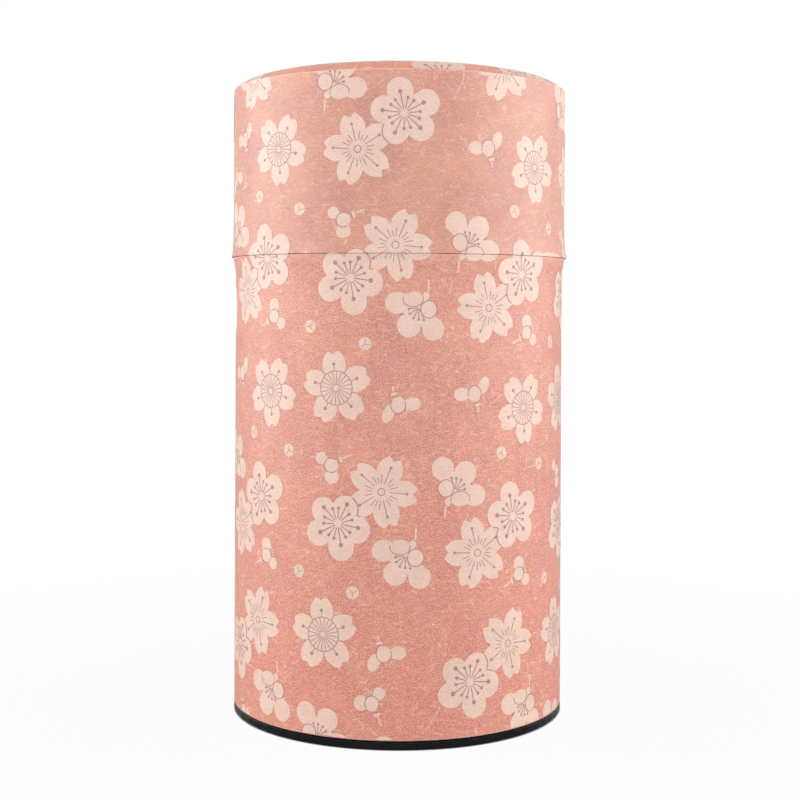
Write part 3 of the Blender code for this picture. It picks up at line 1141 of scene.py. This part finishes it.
def turn_lid_tube(finish):
    """The lid's tube, with the folded hem inside its lower end."""
    radius = shell_high.x - lid_flare
    bore = radius - tin_sheet
    hem = turn_in + tin_sheet
    low, top = shell_low.z, shell_high.z
    outline = corner(hem, low + tin_sheet, tin_sheet, 180, 270)
    outline += [(shell_high.x, low), (radius, low + lid_swell), (radius, top), (bore, top),
                (bore, low + hem_height + hem_slope)]
    outline += corner(hem, low + hem_height - tin_sheet, tin_sheet, 90, 180)
    turned("lid_tube", outline, finish, "outer_lid", "lid_tinplate", "lid_shell", steps=tin_steps)


def grey(level):
    return level, level, level, 1.0


def seen_by(tree, first, *others):
    """1 for the named kinds of ray and 0 for all others."""
    path = node(tree, "LightPath").outputs
    share = path[f"Is {first} Ray"]
    for ray in others:
        share = maths(tree, "MAXIMUM", share, path[f"Is {ray} Ray"])
    return share


def mix_out(tree, kind, share, first, second):
    """Sends a mix of two shaders to the tree's output."""
    mixed = node(tree, "MixShader",
                 {0: share, 1: first.outputs[0], 2: second.outputs[0]}).outputs[0]
    node(tree, kind, {"Surface": mixed})


def make_floor():
    """A wide pale floor. The camera sees it near white, with the tin's soft shadow on it."""
    shape = bmesh.new()
    bmesh.ops.create_circle(shape, cap_ends=True, segments=96, radius=floor_radius)
    mesh = mesh_of("floor", shape)
    finish = bpy.data.materials.new("pale_floor")
    finish.use_nodes = True
    tree = finish.node_tree
    tree.nodes.clear()
    place = object_place(tree)
    away = distance_out(tree, place)
    tone = tint(tree, noise(tree, place, 9), grey(0.54), grey(0.58))
    lit = node(tree, "BsdfDiffuse", {"Color": tone})
    white = node(tree, "Emission", {"Color": grey(1.0)})
    contact = spread(tree, away, body_radius, body_radius + contact_width)
    paleness = times(tree, contact, spread(tree, away, *shadow_reach, shadow_white, 1.0))
    looked_at = seen_by(tree, "Camera", "Transmission")
    mix_out(tree, "OutputMaterial", times(tree, looked_at, paleness), lit, white)
    mesh.materials.append(finish)
    floor = placed("floor", mesh)


def make_world():
    """White to the eye and in reflections, and a faint cool light on all else."""
    world = bpy.data.worlds.new("studio")
    bpy.context.scene.world = world
    world.use_nodes = True
    tree = world.node_tree
    tree.nodes.clear()
    soft = node(tree, "Background", {"Color": (0.97, 0.985, 1.0, 1.0), "Strength": 0.05})
    white = node(tree, "Background", {"Color": grey(1.0)})
    looked_at = seen_by(tree, "Camera", "Glossy", "Transmission")
    mix_out(tree, "OutputWorld", looked_at, soft, white)


def make_lamp(name, place, width, height, power):
    data = bpy.data.lights.new(name, "AREA")
    data.shape = "RECTANGLE"
    data.size, data.size_y = width, height
    data.energy = power
    data.color = lamp_white
    lamp = placed(name, data)
    lamp.location = place
    lamp.rotation_euler = (Vector(lamp_aim) - Vector(place)).to_track_quat("-Z", "Y").to_euler()


def make_camera():
    data = bpy.data.cameras.new("camera")
    camera = placed("camera", data)
    camera.location = (0.0, -camera_back, camera_height)
    camera.rotation_euler = (math.pi / 2, -camera_roll, 0.0)
    data.sensor_width = sensor_width
    data.sensor_fit = "HORIZONTAL"
    data.lens = focal_pixels * sensor_width / photo_side
    data.shift_x = (photo_side / 2 - horizon_column) / photo_side
    data.shift_y = (horizon_row - photo_side / 2) / photo_side
    data.clip_start, data.clip_end = 0.01, 20.0
    bpy.context.scene.camera = camera


# Finishes
paper_gloss, paper_sheen = 0.45, 0.05
paper_relief, print_relief, enamel_relief, tin_relief = 0.00009, 0.00005, 0.00003, 0.000012
# Painted shade towards the foot: how high it reaches and how strong it is at the bottom
low_shade_reach, low_shade_share = 85.0 * MM, 0.85
# Painted light near the joint: its reach and its strength
joint_light_reach, joint_light_share = 2.8 * MM, 0.5
# Painted highlight along the paper's edges: its reach
edge_highlight_reach = 0.5 * MM
warm_patch, cool_patch = colour(218, 154, 122), colour(208, 141, 136)
# Pale pink of the speckle and of the painted light; pink of the hairs and of the painted highlight
pale_and_painted_light_pink, hair_and_highlight_pink = colour(230, 177, 161), colour(233, 192, 175)
speck_tone = colour(120, 112, 104)
petal_tones = colour(216, 183, 168), colour(225, 195, 182)
ink_tones = colour(158, 122, 112), colour(172, 136, 125)
# Body paper: painted shade low down, painted light at the joint, painted highlight at its lower edge
body_washi = washi("body_washi", colour(194, 126, 115), colour(204, 138, 119), 0.17, 0.7, 0.35,
                   paper_sheen, edge=body_foot, joint_light_level=body_height, foot=colour(200, 123, 106))
# Lid paper: the body's paper, set a little darker as painted shade; painted highlight at its top
lid_washi = washi("lid_washi", colour(189, 128, 116), colour(198, 138, 119), 0.12, 0.38, 0.45,
                  paper_sheen, edge=side_top)
# Crown paper: the same paper, set more orange and saturated, as painted light and shade on its top
top_washi = washi("top_washi", colour(206, 130, 107), colour(218, 143, 116), 0.2, 0.35, 0.35,
                  0.0, flat=True)
# Pale paper edges: the pale cut edge, made paler still as a painted highlight on rounded edges
pale_edge_and_highlight = print_finish("paper_pale_edge_and_highlight", colour(236, 183, 166), colour(245, 200, 184), 0.7)
foot_pale_edge_and_highlight = print_finish("paper_foot_pale_edge_and_highlight", colour(196, 148, 134), colour(210, 164, 150), 0.7)
petals = print_finish("petal_print", *petal_tones, 0.45)
ink = print_finish("ink_print", *ink_tones, 0.45)
crown_petals = print_finish("crown_petal_print", *petal_tones, 0.45, flat=True)
crown_ink = print_finish("crown_ink_print", *ink_tones, 0.45, flat=True)
hair_and_wrinkle_highlight = strand_finish("mulberry_hair_and_wrinkle_highlight", colour(222, 172, 152))

# The papers
body_turn = round_rows(body_turn_start, edge_round, 1.0)
side_low_turn = round_rows(low_turn_start, edge_round, -1.0)
side_high_turn = round_rows(high_turn_start, crease_round, 1.0)
body_end = body_turn[-1] + turned_in_by
side_start = side_low_turn[-1] - turned_in_by
side_end = side_high_turn[-1] + paper - crease_round
body_swell_start = body_height - swell_height
lid_swell_end = lid_foot + swell_height
body_inside, lid_inside = body_radius - paper, lid_radius - paper

body_rows = ([body_foot, body_foot + pale_foot_strip] + evenly(body_foot + foot_band, even_end, 22)
             + evenly(dent_rows, body_swell_start, 12)
             + evenly(body_swell_start, body_turn[0], 14)[1:] + body_turn[1:] + [body_end])
# The strip at the foot and the lower cut edge take the pale edge finish, a painted highlight
side_paper("body_washi_paper", body_skin, body_rows,
           [(turn_in, body_height + joint_draw), (turn_in, body_height - paper),
            (body_inside, body_swell_start), (body_inside, body_foot)],
           [body_washi, foot_pale_edge_and_highlight], {0, len(body_rows) + 3}, "tin_body", "body_washi", "body_paper")
side_rows = (side_low_turn[::-1] + evenly(side_low_turn[0], lid_swell_end, 14)[1:]
             + evenly(lid_swell_end, side_high_turn[0], 18)[1:] + side_high_turn[1:] + [side_end])
# The rounded top rows take the pale edge finish, a painted highlight on the crease
side_paper("side_washi_paper", lid_skin, [side_start] + side_rows,
           [(lid_inside, side_top - inner_drop), (lid_inside, lid_swell_end),
            (lid_radius + lid_flare - 1.5 * paper, lid_foot + paper), (turn_in, lid_foot + paper),
            (turn_in, lid_foot - joint_draw)],
           [lid_washi, pale_edge_and_highlight], set(range(len(side_rows) - len(side_high_turn), len(side_rows))),
           "outer_lid", "lid_washi", "lid_paper")
crown_sheet(top_washi)

# The prints and the hairs in the paper
found = repeated()
body_fine = evenly(body_swell_start, body_turn[0], 8) + body_turn[1:]
lid_fine = side_low_turn + evenly(side_low_turn[0], lid_swell_end, 8) + side_high_turn
body_side = (body_skin, body_fine, "tin_body", "body_washi")
lid_side = (lid_skin, lid_fine, "outer_lid", "lid_washi")
body_print_low = body_foot + pale_foot_strip
lay_prints(found, "print_body", body_side, body_print_low, body_end - print_clear, [petals, ink])
lay_prints(found, "print_lid", lid_side, side_start + print_clear, side_end - print_clear,
           [petals, ink])
lay_strands("hairs_body", body_side, body_print_low, body_turn[0], body_hairs, [hair_and_wrinkle_highlight])
# The lid's hairs also carry the wrinkle: its painted highlight in hair, its painted shade in ink
lay_strands("hairs_lid", lid_side, side_low_turn[0], side_high_turn[0], lid_hairs, [hair_and_wrinkle_highlight, ink])
lay_crown_prints(found, [crown_petals, crown_ink], hair_and_wrinkle_highlight)

# The tin pieces, turned again or as imported, and the black bottom rim
turn_sleeve(tinplate("sleeve_tinplate", colour(156, 156, 152), colour(146, 145, 140), 0.4))
turn_dish(tinplate("pan_tinplate", colour(162, 160, 155), colour(150, 148, 142), 0.36, False))
turn_knob(enamel("knob_black", colour(22, 21, 21), colour(48, 46, 46), 0.3))
turn_lid_tube(tinplate("lid_tinplate", colour(166, 166, 162), colour(146, 144, 139), 0.36))
for name, finish in (
        ("base_plate", enamel("black_enamel", colour(12, 14, 19), colour(28, 30, 36), 0.2)),
        ("body_shell", tinplate("body_tinplate", colour(196, 196, 192), colour(168, 166, 160), 0.32)),
        ("lid_top_plate", tinplate("crown_tinplate", colour(166, 166, 162), colour(146, 144, 139),
                                   0.34, False)),
        ("knob_rivet", tinplate("rivet_steel", colour(188, 186, 182), colour(150, 148, 144),
                                0.34, False))):
    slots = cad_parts[name].data.materials
    slots.clear()
    slots.append(finish)

make_floor()
make_world()
make_lamp("left_softbox", (-0.97, -0.12, 0.34), 1.4, 0.64, 12.4)
make_lamp("right_softbox", (0.97, -0.16, 0.34), 1.4, 0.64, 12.2)
make_lamp("front_softbox", (0.03, -1.5, 0.34), 2.0, 0.64, 10.6)
make_lamp("overhead_softbox", (0.0, -0.2, 1.3), 1.2, 1.2, 4.1)
make_camera()
bpy.context.scene.view_settings.view_transform = "Standard"
